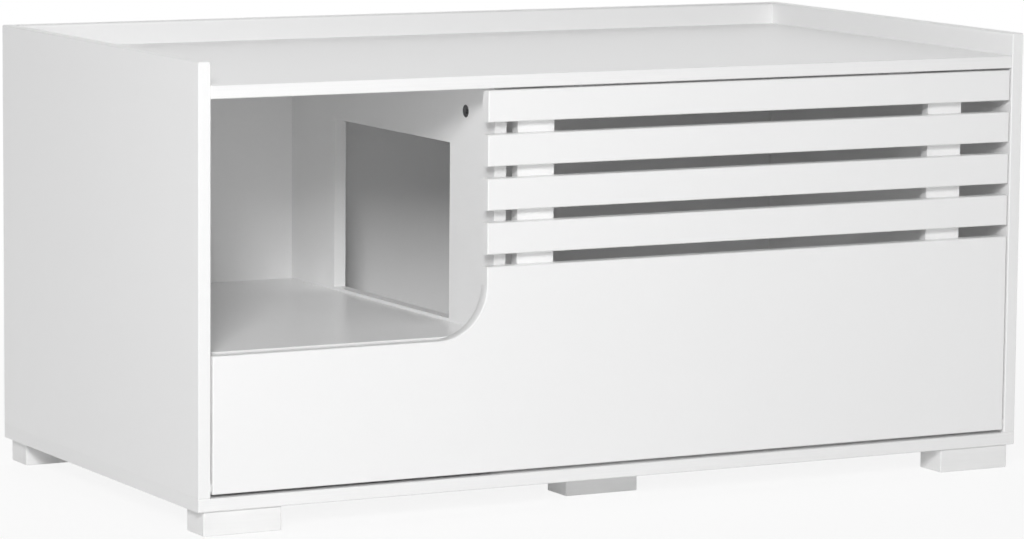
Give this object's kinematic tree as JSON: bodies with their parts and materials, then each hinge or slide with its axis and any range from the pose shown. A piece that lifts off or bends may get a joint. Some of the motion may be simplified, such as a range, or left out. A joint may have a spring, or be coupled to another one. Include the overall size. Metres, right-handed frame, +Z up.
{
  "type": "cat litter box cabinet",
  "caption": "Low white board cabinet on block feet, with an open nook, a doorway to the litter compartment and a slatted drop-down front flap.",
  "frame": {"origin": "on the floor, under the centre of the cabinet's box", "axes": "+X along the width to the right seen from the front, +Y to the back, +Z up"},
  "size_m": [1.08, 0.566, 0.526],
  "materials": {
    "white_board": "white faced board, satin",
    "white_block": "white lacquer, satin",
    "zinc": "cast zinc, dull",
    "steel": "zinc plated, satin",
    "beech": "bare beech",
    "white_plastic": "moulded, matt",
    "magnet": "sintered ferrite, matt"
  },
  "bodies": {
    "cabinet": {"base_panel": "white_board", "left_side_panel": "white_board", "right_side_panel": "white_board", "top_panel": "white_board", "back_panel": "white_board", "divider_panel": "white_board", "nook_floor": "white_board", "cam_locks": "zinc", "cam_bolts": "steel", "dowels": "beech", "back_screws": "steel", "foot_screws": "steel", "left_pivot_bush": "white_plastic", "right_pivot_bush": "white_plastic", "catch_magnets": "magnet", "catch_screws": "steel", "left_catch_housing": "white_plastic", "right_catch_housing": "white_plastic", "front_left_foot": "white_block", "front_middle_foot": "white_block", "front_right_foot": "white_block", "rear_left_foot": "white_block", "rear_middle_foot": "white_block", "rear_right_foot": "white_block"},
    "flap": {"flap_board": "white_board", "slat_1": "white_board", "slat_2": "white_board", "slat_3": "white_board", "slat_4": "white_board", "left_batten": "white_board", "right_batten": "white_board", "batten_screws": "steel", "left_pivot_pin": "steel", "right_pivot_pin": "steel", "left_strike_plate": "steel", "right_strike_plate": "steel", "strike_screws": "steel"}
  },
  "joints": [
    {"name": "flap_hinge", "type": "hinge", "parent": "cabinet", "child": "flap", "pos_m": [0, -0.2755, 0.0545], "axis": [1, 0, 0], "range_deg": [0, 96]}
  ]
}
